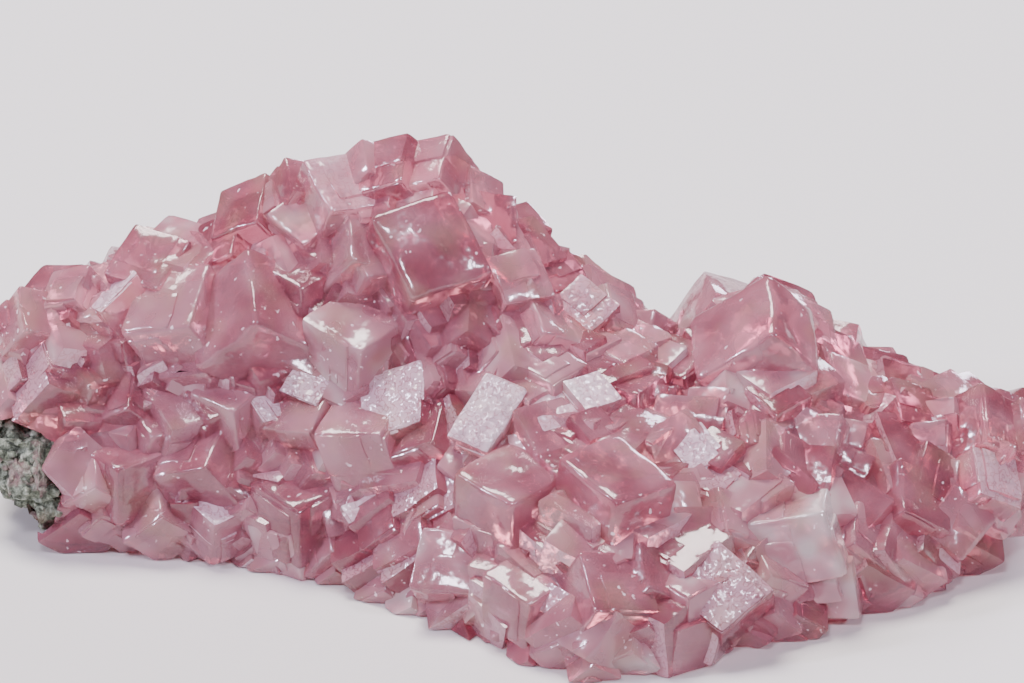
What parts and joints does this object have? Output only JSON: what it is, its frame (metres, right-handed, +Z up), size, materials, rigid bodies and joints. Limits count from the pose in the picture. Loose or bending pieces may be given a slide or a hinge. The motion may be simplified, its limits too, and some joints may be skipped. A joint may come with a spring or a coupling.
{
  "type": "smithsonite specimen",
  "caption": "Mineral hand specimen: a plate of intergrown pink rhombohedral crystals on granular host rock, cut flat underneath to rest on a surface.",
  "frame": {"origin": "a point on the flat underside of the host rock, near its middle", "axes": "+Z up from the resting surface; +X along the specimen's length; the best crystal side faces -Y"},
  "size_m": [0.0688, 0.0358, 0.0263],
  "materials": {
    "host_rock": "rough, granular, with pits and a brown iron stain",
    "pink_smithsonite": "translucent, glassy to frosted crystal faces"
  },
  "bodies": {
    "root": {"host_rock": "host_rock", "pink_crystal_crust": "pink_smithsonite"}
  },
  "joints": []
}
